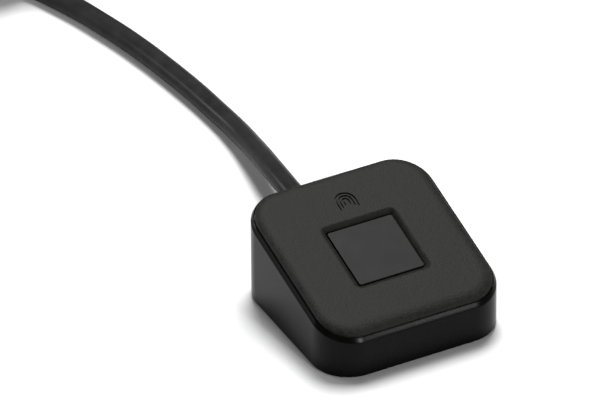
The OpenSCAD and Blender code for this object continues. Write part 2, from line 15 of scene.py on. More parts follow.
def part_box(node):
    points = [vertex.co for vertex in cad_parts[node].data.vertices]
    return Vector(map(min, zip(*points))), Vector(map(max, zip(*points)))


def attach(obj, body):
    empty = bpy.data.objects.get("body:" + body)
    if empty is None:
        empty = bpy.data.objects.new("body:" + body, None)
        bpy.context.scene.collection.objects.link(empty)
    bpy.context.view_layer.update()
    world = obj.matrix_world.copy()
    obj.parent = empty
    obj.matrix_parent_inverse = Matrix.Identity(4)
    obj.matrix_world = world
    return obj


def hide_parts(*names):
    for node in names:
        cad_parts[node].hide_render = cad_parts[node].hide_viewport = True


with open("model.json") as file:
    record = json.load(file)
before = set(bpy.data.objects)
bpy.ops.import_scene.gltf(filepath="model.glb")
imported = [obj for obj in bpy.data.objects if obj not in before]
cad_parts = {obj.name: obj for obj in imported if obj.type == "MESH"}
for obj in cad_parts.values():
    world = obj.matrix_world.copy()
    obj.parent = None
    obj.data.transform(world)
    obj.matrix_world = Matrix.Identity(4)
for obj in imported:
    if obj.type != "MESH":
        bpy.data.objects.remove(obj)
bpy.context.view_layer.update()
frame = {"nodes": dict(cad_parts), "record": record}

MM = 0.001
scene = bpy.context.scene
nodes = frame["nodes"]


# ---- sizes read from the frame ----

def node_centre(name):
    low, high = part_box(name)
    return (low + high) / 2


def wall_top(name, front):
    """Height of a node's top edge at its front or back wall, found from points near it."""
    low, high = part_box(name)
    y = low.y if front else high.y
    near = 0.02 * MM
    return max(v.co.z for v in nodes[name].data.vertices if abs(v.co.y - y) < near)


body_low, body_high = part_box("housing")
half_w = body_high.x
half_d = body_high.y
desk_gap = body_low.z
front_h = wall_top("housing", True)
back_h = wall_top("housing", False)
slope = atan2(back_h - front_h, 2 * half_d)
mid_h = (front_h + back_h) / 2
base_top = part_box("ballast_plate")[0].z
cord_d = 4.6 * MM
cord_r = cord_d / 2

# The housing and the cover, as in the CAD design
corner_r = 8 * MM
rim_t = 0.6 * MM
cover_inset = half_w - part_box("top_cover")[1].x
wall_t = 1.6 * MM
seat_w = -1.0 * MM
crown = 1.05 * MM
tile_top = 0.45 * MM


# ---- camera ----

CAMERA_AZIMUTH = radians(-27.53)
CAMERA_ELEVATION = radians(34.52)
CAMERA_ROLL = radians(-0.36)
CAMERA_DISTANCE = 1.9874
CAMERA_TARGET = Vector((4.51, 39.83, 0.3)) * MM
CAMERA_LENS = 593.6
CAMERA_SENSOR = 36
CAMERA_CLIP = (0.05, 100)


def make_camera():
    back = Vector((
        sin(CAMERA_AZIMUTH) * cos(CAMERA_ELEVATION),
        -cos(CAMERA_AZIMUTH) * cos(CAMERA_ELEVATION),
        sin(CAMERA_ELEVATION),
    ))
    level = back.cross(Vector((0, 0, -1))).normalized()
    upright = back.cross(level)
    right = cos(CAMERA_ROLL) * level + sin(CAMERA_ROLL) * upright
    up = cos(CAMERA_ROLL) * upright - sin(CAMERA_ROLL) * level
    data = bpy.data.cameras.new("camera")
    data.sensor_width = CAMERA_SENSOR
    data.lens = CAMERA_LENS
    data.clip_start, data.clip_end = CAMERA_CLIP
    camera = bpy.data.objects.new("camera", data)
    scene.collection.objects.link(camera)
    place = Matrix((right, up, back)).transposed().to_4x4()
    place.translation = CAMERA_TARGET + back * CAMERA_DISTANCE
    camera.matrix_world = place
    scene.camera = camera


# ---- material nodes ----

# Detail and roughness of the noise in the materials, and the part of it that a mix spans
FINE_NOISE = (3, 0.6)
SOFT_NOISE = (3, 0.55)
BROAD_NOISE = (2, 0.5)
SPAN = (0.3, 0.7)


class Shader:
    """A material's node tree, with short calls for the nodes that the finishes share."""

    def __init__(self, name):
        self.material = bpy.data.materials.new(name)
        self.material.use_nodes = True
        self.tree = self.material.node_tree
        self.surface = self.tree.nodes["Principled BSDF"]
        self.place = self.tree.nodes.new("ShaderNodeTexCoord").outputs["Object"]

    def add(self, kind, values=(), links=()):
        node = self.tree.nodes.new(kind)
        for key, value in dict(values).items():
            if isinstance(key, str) and hasattr(node, key):
                setattr(node, key, value)
            else:
                node.inputs[key].default_value = value
        for key, output in dict(links).items():
            self.tree.links.new(output, node.inputs[key])
        return node

    def stretched(self, scale):
        """Object coordinates multiplied by scale, one number per axis."""
        return self.add("ShaderNodeMapping", {"Scale": scale}, {"Vector": self.place}).outputs[0]

    def noise(self, size, kind, vector=None):
        """Noise from 0 to 1 whose blobs are about size metres across."""
        detail, rough = kind
        node = self.add(
            "ShaderNodeTexNoise",
            {"Scale": 1 / size, "Detail": detail, "Roughness": rough},
            {"Vector": vector or self.place},
        )
        return node.outputs["Fac"]

    def cells(self, size):
        """Distance to the middles of cells about size metres across."""
        node = self.add("ShaderNodeTexVoronoi", {"Scale": 1 / size}, {"Vector": self.place})
        return node.outputs["Distance"]

    def between(self, factor, low, high):
        """A number that goes from low to high as factor goes over SPAN."""
        node = self.add(
            "ShaderNodeMapRange",
            {"From Min": SPAN[0], "From Max": SPAN[1], "To Min": low, "To Max": high},
            {"Value": factor},
        )
        return node.outputs["Result"]

    def colours(self, factor, low, high, span=SPAN):
        """A colour that goes from low to high as factor goes over span."""
        node = self.add("ShaderNodeValToRGB", {}, {"Fac": factor})
        for stop, position, colour in zip(node.color_ramp.elements, span, (low, high)):
            stop.position = position
            stop.color = (*colour, 1)
        return node.outputs["Color"]

    def math(self, operation, a, b):
        """Arithmetic on two outputs or numbers."""
        node = self.add("ShaderNodeMath", {"operation": operation})
        for i, term in enumerate((a, b)):
            if isinstance(term, (int, float)):
                node.inputs[i].default_value = term
            else:
                self.tree.links.new(term, node.inputs[i])
        return node.outputs[0]

    def mixed(self, a, b, share):
        """The sum of share of a and the rest of b."""
        first = self.math("MULTIPLY", a, share)
        return self.math("ADD", first, self.math("MULTIPLY", b, 1 - share))

    def bump(self, height, depth):
        """A bump of depth metres."""
        return self.add("ShaderNodeBump", {"Distance": depth}, {"Height": height}).outputs[0]

    def finish(self, **inputs):
        """Sets or links the shader's own sockets, given with _ for a space."""
        for key, value in inputs.items():
            socket = self.surface.inputs[key.replace("_", " ")]
            if isinstance(value, bpy.types.NodeSocket):
                self.tree.links.new(value, socket)
            else:
                socket.default_value = value
        return self.material


def moulded(name, dark, light, rough, grain, depth, specular, mottle):
    """Moulded plastic: a fine spark-eroded grain, faint mottling and uneven gloss."""
    s = Shader(name)
    fine = s.noise(grain * MM, FINE_NOISE)
    broad = s.noise(mottle * MM, BROAD_NOISE)
    mixed = s.mixed(fine, broad, share=0.6)
    return s.finish(
        Base_Color=s.colours(mixed, dark, light),
        Roughness=s.between(mixed, *rough),
        Specular_IOR_Level=specular,
        Normal=s.bump(fine, depth * MM),
    )


def cord_finish():
    """Soft extruded jacket: fine grain, faint mottling and a satin sheen."""
    s = Shader("cord_jacket")
    fine = s.noise(0.25 * MM, FINE_NOISE)
    broad = s.noise(4 * MM, SOFT_NOISE)
    mixed = s.mixed(fine, broad, share=0.35)
    return s.finish(
        Base_Color=s.colours(mixed, (0.017, 0.017, 0.0168), (0.031, 0.031, 0.0306)),
        Roughness=s.between(mixed, 0.28, 0.34),
        Specular_IOR_Level=0.035,
        Normal=s.bump(fine, 0.012 * MM),
    )


def metal(name, dark, light, rough):
    """Sheet metal with fine rolling streaks along X and slight stains."""
    s = Shader(name)
    along = s.stretched((0.06, 1, 1))
    streaks = s.noise(0.06 * MM, FINE_NOISE, along)
    stains = s.noise(2.5 * MM, FINE_NOISE)
    mixed = s.mixed(streaks, stains, share=0.5)
    return s.finish(
        Base_Color=s.colours(mixed, dark, light),
        Metallic=1.0,
        Roughness=s.between(mixed, *rough),
        Normal=s.bump(streaks, 0.003 * MM),
    )


def board_finish():
    """Solder mask: weave of the glass cloth below it and lighter copper areas."""
    s = Shader("circuit_board")
    weave = s.cells(0.45 * MM)
    lit = s.mixed(weave, s.cells(2.2 * MM), share=0.3)
    return s.finish(
        Base_Color=s.colours(lit, (0.004, 0.045, 0.014), (0.012, 0.11, 0.035), (0.2, 0.5)),
        Roughness=s.between(weave, 0.25, 0.4),
        Normal=s.bump(weave, 0.01 * MM),
    )


def film_finish():
    """Amber polyimide film with copper tracks across it."""
    s = Shader("ribbon_film")
    tracks = s.add(
        "ShaderNodeTexWave",
        {"wave_type": "BANDS", "bands_direction": "X", "Scale": 1 / (3.2 * MM)},
        {"Vector": s.place},
    ).outputs["Fac"]
    return s.finish(
        Base_Color=s.colours(tracks, (0.36, 0.12, 0.012), (0.62, 0.27, 0.06), (0.45, 0.55)),
        Roughness=s.between(tracks, 0.3, 0.42),
        Normal=s.bump(tracks, 0.01 * MM),
    )


# Moulded pieces: dark and light colour, roughness from and to, size of the grain, depth of its
# bump, specular level, size of the mottling. Sizes in millimetres.
MOULDED = {
    "case_satin": (
        (0.0021, 0.0021, 0.002), (0.004, 0.004, 0.0038), (0.2, 0.26), 0.12, 0.003, 0.072, 3,
    ),
    "cover_textured": (
        (0.0065, 0.0063, 0.0059), (0.021, 0.0205, 0.0194), (0.48, 0.62), 0.36, 0.1, 0.12, 1.5,
    ),
    "sensor_coating": (
        (0.0064, 0.0063, 0.006), (0.0092, 0.009, 0.0087), (0.42, 0.5), 0.3, 0.003, 0.085, 4,
    ),
    "rubber_pad": ((0.012,) * 3, (0.024,) * 3, (0.7, 0.85), 0.3, 0.04, 0.3, 3),
    "foam": ((0.02,) * 3, (0.05,) * 3, (0.85, 0.95), 0.1, 0.05, 0.2, 3),
    "tie_strap": ((0.008,) * 3, (0.02,) * 3, (0.75, 0.9), 0.3, 0.12, 0.25, 3),
    "plug_plastic": (
        (0.012, 0.0118, 0.0115), (0.02, 0.0196, 0.019), (0.42, 0.55), 0.2, 0.02, 0.5, 3,
    ),
    "tongue_plastic": ((0.01,) * 3, (0.016,) * 3, (0.35, 0.45), 0.2, 0.004, 0.5, 3),
    "chip_epoxy": ((0.012,) * 3, (0.022,) * 3, (0.55, 0.7), 0.08, 0.01, 0.5, 3),
    "connector_plastic": (
        (0.62, 0.58, 0.47), (0.72, 0.68, 0.57), (0.4, 0.5), 0.2, 0.006, 0.5, 3,
    ),
    "latch_plastic": (
        (0.045, 0.02, 0.01), (0.07, 0.034, 0.018), (0.4, 0.55), 0.15, 0.006, 0.5, 3,
    ),
    "receptacle_plastic": (
        (0.7, 0.69, 0.66), (0.8, 0.79, 0.76), (0.35, 0.45), 0.2, 0.004, 0.5, 3,
    ),
    "capacitor_ceramic": (
        (0.3, 0.2, 0.11), (0.5, 0.4, 0.28), (0.4, 0.55), 0.15, 0.01, 0.5, 3,
    ),
    "resistor_ceramic": (
        (0.012, 0.012, 0.016), (0.05, 0.05, 0.055), (0.3, 0.5), 0.3, 0.01, 0.5, 3,
    ),
    "wire_red": ((0.42, 0.012, 0.01), (0.55, 0.02, 0.016), (0.3, 0.4), 0.2, 0.01, 0.5, 3),
    "wire_white": ((0.68,) * 3, (0.8,) * 3, (0.3, 0.4), 0.2, 0.01, 0.5, 3),
    "wire_green": ((0.01, 0.22, 0.03), (0.02, 0.32, 0.05), (0.3, 0.4), 0.2, 0.01, 0.5, 3),
    "wire_black": ((0.01,) * 3, (0.018,) * 3, (0.3, 0.4), 0.2, 0.01, 0.5, 3),
}

# Metal pieces: dark and light colour, roughness from and to
METALS = {
    "screw_steel": ((0.42, 0.42, 0.44), (0.6, 0.6, 0.62), (0.28, 0.4)),
    "ballast_steel": ((0.28, 0.29, 0.31), (0.42, 0.43, 0.45), (0.38, 0.55)),
    "bracket_steel": ((0.5, 0.5, 0.5), (0.66, 0.66, 0.66), (0.22, 0.34)),
    "plug_steel": ((0.52, 0.52, 0.52), (0.66, 0.66, 0.65), (0.2, 0.32)),
    "crystal_can": ((0.6, 0.6, 0.6), (0.75, 0.75, 0.74), (0.15, 0.25)),
    "gold_contact": ((0.7, 0.45, 0.14), (0.85, 0.6, 0.24), (0.2, 0.3)),
}

finishes = {name: moulded(name, *values) for name, values in MOULDED.items()}
finishes.update({name: metal(name, *values) for name, values in METALS.items()})
finishes["circuit_board"] = board_finish()
finishes["ribbon_film"] = film_finish()
finishes["cord_jacket"] = cord_finish()

for part in frame["record"]["subparts"]:
    mesh = nodes[part["node"]].data
    mesh.materials.clear()
    mesh.materials.append(finishes[part["material_slot"]])


# ---- mesh helpers ----

SHARP = 32
SOFT_SHARP = 40
RIB_SHARP = 50


def add_piece(obj, slot, *replaced):
    """Gives a new piece its finish and its body, and hides the CAD nodes that it stands for."""
    if not obj.data.materials:
        obj.data.materials.append(finishes[slot])
    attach(obj, "root")
    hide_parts(*replaced)
    return obj


def smooth(obj, angle=SHARP):
    """Smooth shading, with edges sharper than angle degrees kept crisp."""
    obj.data.shade_smooth()
    obj.data.set_sharp_from_angle(angle=radians(angle))
    return obj


def new_mesh(name, points, faces, angle=SHARP):
    mesh = bpy.data.meshes.new(name)
    mesh.from_pydata([tuple(p) for p in points], [], faces)
    mesh.validate()
    obj = bpy.data.objects.new(name, mesh)
    scene.collection.objects.link(obj)
    return smooth(obj, angle)


def loft(name, rings, ends="caps", angle=SHARP):
    """Joins rings of equally many points. ends is caps, or loop to join the last to the first."""
    n = len(rings[0])
    points = [p for ring in rings for p in ring]
    count = len(rings)
    faces = []
    for i in range(count if ends == "loop" else count - 1):
        a = i * n
        b = (i + 1) % count * n
        for k in range(n):
            faces.append((a + k, a + (k + 1) % n, b + (k + 1) % n, b + k))
    if ends == "caps":
        faces.append(tuple(reversed(range(n))))
        faces.append(tuple((count - 1) * n + k for k in range(n)))
    obj = new_mesh(name, points, faces, angle)
    face_out(obj)
    return smooth(obj, angle)


def face_out(obj):
    """Turns every face of a closed mesh outwards."""
    work = bmesh.new()
    work.from_mesh(obj.data)
    bmesh.ops.recalc_face_normals(work, faces=work.faces)
    work.to_mesh(obj.data)
    work.free()


def rounded(half_x, half_y, r, arc=20):
    """Points of a rectangle with round corners, anticlockwise from its right side."""
    points = []
    for k, (sx, sy) in enumerate(((1, 1), (-1, 1), (-1, -1), (1, -1))):
        for i in range(arc + 1):
            a = pi / 2 * (k + i / arc)
            points.append((sx * (half_x - r) + r * cos(a), sy * (half_y - r) + r * sin(a)))
    return points


def cut(obj, cutter, angle=SHARP):
    """Takes another mesh away from obj, and uses that mesh up."""
    step = obj.modifiers.new("cut", "BOOLEAN")
    step.operation = "DIFFERENCE"
    step.object = cutter
    step.solver = "EXACT"
    bpy.context.view_layer.update()
    evaluated = obj.evaluated_get(bpy.context.evaluated_depsgraph_get())
    mesh = bpy.data.meshes.new_from_object(evaluated)
    old = obj.data
    obj.modifiers.clear()
    obj.data = mesh
    mesh.name = old.name
    bpy.data.meshes.remove(old)
    bpy.data.objects.remove(cutter)
    return smooth(obj, angle)


def join(objects):
    """Makes one mesh object of several."""
    with bpy.context.temp_override(active_object=objects[0], selected_editable_objects=objects):
        bpy.ops.object.join()
    return objects[0]


def turned(name, profile, place, count=64, angle=SHARP):
    """Revolves (radius, height) pairs around the Z axis of place. The profile is a closed loop."""
    turns = [2 * pi * k / count for k in range(count)]
    rings = [
        [place @ Vector((radius * cos(a), radius * sin(a), height)) for a in turns]
        for radius, height in profile
    ]
    return loft(name, rings, "loop", angle)


def ribs_along(ribs, per_rib=8):
    """(t, depth) pairs from 0 to 1 along a row of ribs, with depth from 0 to 1 and back in each."""
    steps = per_rib * ribs
    pairs = []
    for i in range(steps + 1):
        t = i / steps
        pairs.append((t, (0.5 - 0.5 * cos(2 * pi * t * ribs)) ** 2))
    return pairs


def eased_step(t):
    """From 0 to 1, slow at both ends."""
    t = min(max(t, 0), 1)
    return t * t * (3 - 2 * t)


def along_y(z):
    """From a turned piece's own frame, Z to its tip, to one that points back from height z."""
    return Matrix.Translation((0, 0, z)) @ Matrix.Rotation(-pi / 2, 4, "X")


# ---- body outline and slope frame ----

ARC = 24


def plan_ring(inset, height):
    """The body's outline drawn in by inset. height gives each point's z from its y."""
    flat = rounded(half_w - inset, half_d - inset, corner_r - inset, ARC)
    return [Vector((x, y, height(y))) for x, y in flat]


def level(z):
    return lambda y: z


def over_rim(w):
    """Height of the plane that lies w over the rim."""
    return lambda y: mid_h + y * tan(slope) + w / cos(slope)


def on_slope(x, v, w):
    """A point of the slope frame in the object's own."""
    return Vector((x, v * cos(slope) - w * sin(slope), mid_h + v * sin(slope) + w * cos(slope)))


def slope_ring(half_x, half_v, r, centre_v, w):
    return [on_slope(x, centre_v + v, w) for x, v in rounded(half_x, half_v, r, ARC)]


def slope_prism(name, outline, w0, w1):
    """Solid with that outline in the slope frame, from w0 to w1."""
    return loft(name, [[on_slope(x, v, w) for x, v in outline] for w in (w0, w1)])


def quarter(steps):
    """Angles from 0 to a right angle."""
    return [pi / 2 * i / steps for i in range(steps + 1)]


# ---- housing ----

RIM_EDGE = 0.28 * MM
RIM_FACE = 0.88 * MM
RIM_TILT = (radians(28), radians(36))
EDGE_ROUND = 0.3 * MM
LIP_ROUND = 0.05 * MM
BASE_GAP = 1.2 * MM
HOLE_R = 3.5 * MM
AXIS_R = 0.001 * MM


def rim_profile():
    """(inset, w) pairs up the rim: a small round edge, then a face that leans in to the lip."""
    steps = 6
    pairs = [(0, 0)]
    for length, start, end in ((RIM_EDGE, 0, RIM_TILT[0]), (RIM_FACE, *RIM_TILT)):
        run = length / steps
        for i in range(steps):
            tilt = start + (end - start) * (i + 0.5) / steps
            pairs.append((pairs[-1][0] + run * sin(tilt), pairs[-1][1] + run * cos(tilt)))
    reach, rise = pairs[-1]
    shrink = (rim_t - LIP_ROUND) / reach
    return [(inset * shrink, w - rise - LIP_ROUND) for inset, w in pairs]


def make_housing():
    chamfer = EDGE_ROUND / 3
    wall_start = desk_gap + 1.3 * EDGE_ROUND
    rings = [
        plan_ring(BASE_GAP, level(base_top)),
        plan_ring(BASE_GAP, level(desk_gap + chamfer)),
        plan_ring(BASE_GAP - chamfer, level(desk_gap)),
    ]
    for a in quarter(6):
        z = desk_gap + EDGE_ROUND * (1 - cos(a))
        rings.append(plan_ring(EDGE_ROUND * (1 - sin(a)), level(z)))
    rings.append(plan_ring(0, level(wall_start)))
    rim = rim_profile()
    rings.append(plan_ring(0, over_rim(rim[0][1] - RIM_EDGE)))
    rings += [plan_ring(inset, over_rim(w)) for inset, w in rim]
    rings += [
        plan_ring(rim_t, over_rim(-2 * LIP_ROUND)),
        plan_ring(rim_t, over_rim(seat_w)),
        plan_ring(wall_t, over_rim(seat_w)),
        plan_ring(wall_t, level(base_top)),
    ]
    housing = loft("housing_shell", rings, "loop")
    inside = half_d - 2 * wall_t
    outside = half_d + wall_t
    bore = [(AXIS_R, inside), (HOLE_R, inside), (HOLE_R, outside), (AXIS_R, outside)]
    cut(housing, turned("hole", bore, along_y(node_centre("cable_end").z)))
    add_piece(housing, "case_satin", "housing")


# ---- top cover ----

ROLL_W = 2.5 * MM
EDGE_TOP = -0.05 * MM
BEVEL = {"side": 1.55 * MM, "front": 1.45 * MM, "back": 1.5 * MM}
BEVEL_POWER = {"side": 2.1, "front": 1.3, "back": 1.9}
WINDOW_GAP = {"side": 0.09 * MM, "front": 0.06 * MM, "back": 0.45 * MM}
TRENCH = 0.42 * MM
TRENCH_WALL = 0.1 * MM
RECESS_ROUND = 1.2 * MM
FLAT_MARGIN = (0.3 * MM, 0.25 * MM)
TILE_R = 0.5 * MM
MARK_V = 12.4 * MM
MARK_DEPTH = 0.3 * MM
MARK_LINE = 0.42 * MM
MARK_ARCHES = 3
ARCH_R = (0.55 * MM, 0.72 * MM)
ARCH_LEG = (1.1 * MM, 0.5 * MM)

tile_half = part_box("sensor_tile")[1].x
tile_mid = node_centre("sensor_tile")
tile_v = tile_mid.y * cos(slope) + (tile_mid.z - mid_h) * sin(slope)


def recess_ring(reach, w, round_r):
    """Ring round the sensor that lies reach[edge] outside each of its edges."""
    half_v = tile_half + (reach["front"] + reach["back"]) / 2
    middle_v = tile_v + (reach["back"] - reach["front"]) / 2
    return slope_ring(tile_half + reach["side"], half_v, round_r, middle_v, w)


def finger_recess_rings():
    """From the flat of the cover down to the window, steeper and steeper on the way."""
    floor_w = tile_top - TRENCH
    rings = []
    steps = 18
    for i in range(steps + 1):
        depth = (i / steps) ** 2
        reach = {}
        for edge, gap in WINDOW_GAP.items():
            left = 1 - depth ** (1 / BEVEL_POWER[edge])
            reach[edge] = gap + (BEVEL[edge] - gap) * left
        round_r = TILE_R + RECESS_ROUND * (1 - i / steps)
        rings.append(recess_ring(reach, crown + (floor_w - crown) * depth, round_r))
    rings.append(recess_ring(WINDOW_GAP, floor_w - TRENCH_WALL, TILE_R))
    rings.append(recess_ring(WINDOW_GAP, seat_w, TILE_R))
    return rings


def arch(k):
    """Outline of one arch of the fingertip sign, counted from the middle."""
    r = ARCH_R[0] + ARCH_R[1] * k
    leg = ARCH_LEG[0] + ARCH_LEG[1] * k
    half = MARK_LINE / 2
    turns = [2 * a for a in quarter(20)]
    outer = [((r + half) * cos(a), (r + half) * sin(a)) for a in turns]
    inner = [((r - half) * cos(a), (r - half) * sin(a)) for a in turns]
    left_foot = [(-r - half, -leg), (-r + half, -leg)]
    right_foot = [(r - half, -leg), (r + half, -leg)]
    points = outer + left_foot + inner[::-1] + right_foot
    return [(x, MARK_V + v) for x, v in points]


def make_cover():
    rings = [plan_ring(cover_inset, over_rim(w)) for w in (seat_w, seat_w / 2)]
    for a in quarter(14):
        inset = cover_inset + ROLL_W * (1 - cos(a))
        rings.append(plan_ring(inset, over_rim(EDGE_TOP + (crown - EDGE_TOP) * sin(a))))
    edge_margin, recess_margin = FLAT_MARGIN
    rings.append(plan_ring(cover_inset + ROLL_W + edge_margin, over_rim(crown)))
    outside = {edge: reach + recess_margin for edge, reach in BEVEL.items()}
    rings.append(recess_ring(outside, crown, TILE_R + RECESS_ROUND + recess_margin))
    rings += finger_recess_rings()
    cover = loft("top_cover_shell", rings, "loop")
    low_w = crown - MARK_DEPTH
    high_w = crown + MM
    marks = [slope_prism(f"mark_{k}", arch(k), low_w, high_w) for k in range(MARK_ARCHES)]
    cut(cover, join(marks))
    add_piece(cover, "cover_textured", "top_cover")


def make_tile():
    edge = 0.1 * MM
    board_w = -1.25 * MM
    sides = [(0, board_w), (0, tile_top - 2 * edge)]
    sides += [(edge * (1 - cos(a)), tile_top - edge * (1 - sin(a))) for a in quarter(5)]
    rings = []
    for inset, w in sides:
        half = tile_half - inset
        rings.append(slope_ring(half, half, TILE_R - inset, tile_v, w))
    half = tile_half - 2 * edge
    rings.append(slope_ring(half, half, TILE_R - 1.5 * edge, tile_v, tile_top))
    add_piece(loft("sensor_window", rings), "sensor_coating", "sensor_tile")


# ---- cord, strain relief and tie ----

# Points of the free lead's route in millimetres: from the strain relief to the coil, and from
# the coil to the plug
LEAD_ROUTE = [
    (0, 33, 6.8), (0, 35, 6.8), (0.2, 38, 6.7), (0.8, 44, 6.1), (1.6, 50, 5.2), (2.4, 56, 4.1),
    (3, 62, 3.2), (3.2, 68, 2.6), (3, 74, 2.3), (2.5, 81, 2.3), (1.6, 89, 2.3), (0.3, 98, 2.3),
    (-1.2, 106, 2.3), (-2.9, 113, 2.3), (-4.8, 120, 2.3), (-7.7, 128.2, 2.3),
    (-11.3, 136.2, 2.5), (-15, 144.2, 2.9),
]
TAIL_ROUTE = [
    (14.3, 188, 7.5), (22.3, 187, 7.8), (30.3, 184, 8.8), (37.3, 179, 10.2), (42.3, 172.6, 11.4),
    (45.7, 165, 12), (46.7, 157, 12.2), (45.5, 149.6, 12.5), (41.3, 143.2, 12.9),
    (34.9, 138.8, 13.4), (28.3, 137, 13.7), (25.3, 137, 13.7),
]
LAYER_TURNS = 3
CLIMB_TURNS = 0.5
WHOLE_TURNS = 6
INTO_RELIEF = 3 * MM
INTO_PLUG = 2 * MM
BORE_R = cord_r + 0.02 * MM


def coil_points(first, last, per_turn=60):
    """Inwards on the lower layer, up at the inside, and outwards on the upper one."""
    low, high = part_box("cord_coil")
    middle = (low + high) / 2
    outside = (high.x - low.x) / 2 - cord_r
    inside = outside - LAYER_TURNS * cord_d
    low_z = low.z + cord_r
    start = atan2(first.y - middle.y, first.x - middle.x) % (2 * pi)
    end = atan2(last.y - middle.y, last.x - middle.x)
    total = WHOLE_TURNS + (start - end) / (2 * pi)
    count = round(total * per_turn)
    points = []
    for i in range(1, count):
        t = total * i / count
        radius = max(outside - cord_d * t, inside)
        if t > LAYER_TURNS + CLIMB_TURNS:
            radius = inside + cord_d * (t - LAYER_TURNS - CLIMB_TURNS)
        angle = start - 2 * pi * t
        z = low_z + cord_d * eased_step((t - LAYER_TURNS) / CLIMB_TURNS)
        points.append(Vector((middle.x + radius * cos(angle), middle.y + radius * sin(angle), z)))
    return points


def eased(points, steps=4):
    """A Catmull-Rom curve through the points, with steps pieces between each two."""
    ends = [2 * points[0] - points[1]] + points + [2 * points[-1] - points[-2]]
    line = []
    for a, b, c, d in zip(ends, ends[1:], ends[2:], ends[3:]):
        for i in range(steps):
            t = i / steps
            line.append(0.5 * (
                2 * b + (c - a) * t + (2 * a - 5 * b + 4 * c - d) * t ** 2
                + (3 * b - a - 3 * c + d) * t ** 3
            ))
    return line + [points[-1]]


def make_cord():
    """One curve from inside the strain relief to inside the plug's own relief."""
    route = [Vector(p) * MM for p in LEAD_ROUTE]
    tail = [Vector(p) * MM for p in TAIL_ROUTE]
    start = route[0] - Vector((0, INTO_RELIEF, 0))
    end = tail[-1] - Vector((INTO_PLUG, 0, 0))
    line = eased([start] + route) + coil_points(route[-1], tail[0]) + eased(tail + [end])
    data = bpy.data.curves.new("lead", "CURVE")
    data.dimensions = "3D"
    spline = data.splines.new("POLY")
    spline.points.add(len(line) - 1)
    for point, place in zip(spline.points, line):
        point.co = (*place, 1)
    data.bevel_depth = cord_r
    data.bevel_resolution = 8
    data.use_fill_caps = True
    cord = bpy.data.objects.new("lead", data)
    scene.collection.objects.link(cord)
    data.materials.append(finishes["cord_jacket"])
    return add_piece(cord, "cord_jacket", "cord", "cord_coil", "cord_tail")


def make_strain_relief():
    """Flange inside the wall, neck through it, and a ribbed taper outside."""
    low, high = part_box("strain_relief")
    flange_r = (high.z - low.z) / 2
    neck_r = 3.45 * MM
    tip_r = 2.75 * MM
    neck_end = half_d + 0.4 * MM
    wall_in = half_d - wall_t
    rib_depth = 0.22 * MM
    edge = 0.15 * MM
    plain = 2.2 * MM
    profile = [
        (BORE_R, high.y), (BORE_R, low.y), (flange_r - edge, low.y), (flange_r, low.y + edge),
        (flange_r, wall_in), (neck_r, wall_in), (neck_r, neck_end),
    ]
    start = half_d + plain
    end = high.y - plain
    for t, depth in ribs_along(5):
        y = start + (end - start) * t
        r = neck_r + (tip_r - neck_r) * (y - half_d) / (high.y - half_d)
        profile.append((r - rib_depth * depth, y))
    profile += [
        (tip_r, high.y - 2 * edge), (tip_r - 0.3 * edge, high.y - 0.5 * edge),
        (tip_r - edge, high.y),
    ]
    boot = turned("lead_boot", profile, along_y((low.z + high.z) / 2), 56, RIB_SHARP)
    return add_piece(boot, "cord_jacket", "strain_relief")


def strands_at(across, along, middle):
    """Where the coil's turns cross a half plane: distance outwards and height of each."""
    points = coil_points(Vector(LEAD_ROUTE[-1]) * MM, Vector(TAIL_ROUTE[0]) * MM)
    found = []
    for a, b in zip(points, points[1:]):
        side_a = (a - middle).dot(along)
        side_b = (b - middle).dot(along)
        if side_a * side_b < 0 and (a - middle).dot(across) > 0:
            crossing = a.lerp(b, side_a / (side_a - side_b))
            found.append(Vector(((crossing - middle).dot(across), crossing.z)))
    return found


def wrapped(strands, reach, step, start, overlap):
    """Points at equal steps once round all the strands and on past the start.

    Also gives the length once round."""
    turns = 72
    outline = []
    for i in range(turns):
        out = Vector((sin(2 * pi * i / turns), cos(2 * pi * i / turns)))
        outline.append(max(strands, key=out.dot) + out * reach)
    edges = [(b - a).length for a, b in zip(outline, outline[1:] + outline[:1])]
    around = sum(edges)
    points = []
    for i in range(round((around + overlap) / step) + 1):
        left = (start + i * step) % around
        k = 0
        while left > edges[k]:
            left -= edges[k]
            k += 1
        share = left / edges[k] if edges[k] else 0
        points.append(outline[k].lerp(outline[(k + 1) % turns], share))
    return points, around


def make_tie():
    """Flat strap drawn tight round the coil's section, its loose end on top of its start."""
    middle = node_centre("cord_coil")
    strap_t = 0.5 * MM
    strap_half = 3 * MM
    strap_r = 0.2 * MM
    slack = 0.03 * MM
    step = 0.5 * MM
    start = 3 * MM
    overlap = 6 * MM
    climb = 3 * MM
    stacked = 1.06 * strap_t
    angle = radians(145)
    across = Vector((cos(angle), sin(angle), 0))
    along = Vector((-sin(angle), cos(angle), 0))
    strands = strands_at(across, along, middle)
    path, around = wrapped(strands, cord_r + slack + strap_t / 2, step, start, overlap)
    rings = []
    for i, place in enumerate(path):
        before = path[max(i - 1, 0)]
        after = path[min(i + 1, len(path) - 1)]
        run = (after - before).normalized()
        out = Vector((-run.y, run.x))
        lift = stacked * eased_step((i * step - around + climb) / climb)
        ring = []
        for s, o in rounded(strap_half, strap_t / 2, strap_r, 3):
            flat = place + out * (o + lift)
            foot = Vector((middle.x, middle.y, 0))
            ring.append(foot + across * flat.x + Vector((0, 0, flat.y)) + along * s)
        rings.append(ring)
    return add_piece(loft("coil_tie", rings), "tie_strap", "cord_tie")


# ---- plug ----

def plug_frame():
    """From the plug's own frame, X to its tip, to the row frame."""
    low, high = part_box("plug_strain_relief")
    middle = (low + high) / 2
    return Matrix.Translation((high.x, middle.y, middle.z)) @ Matrix.Rotation(pi, 4, "Z")


def section(place, x, half_y, half_z, r, arc=8):
    return [place @ Vector((x, y, z)) for y, z in rounded(half_y, half_z, r, arc)]


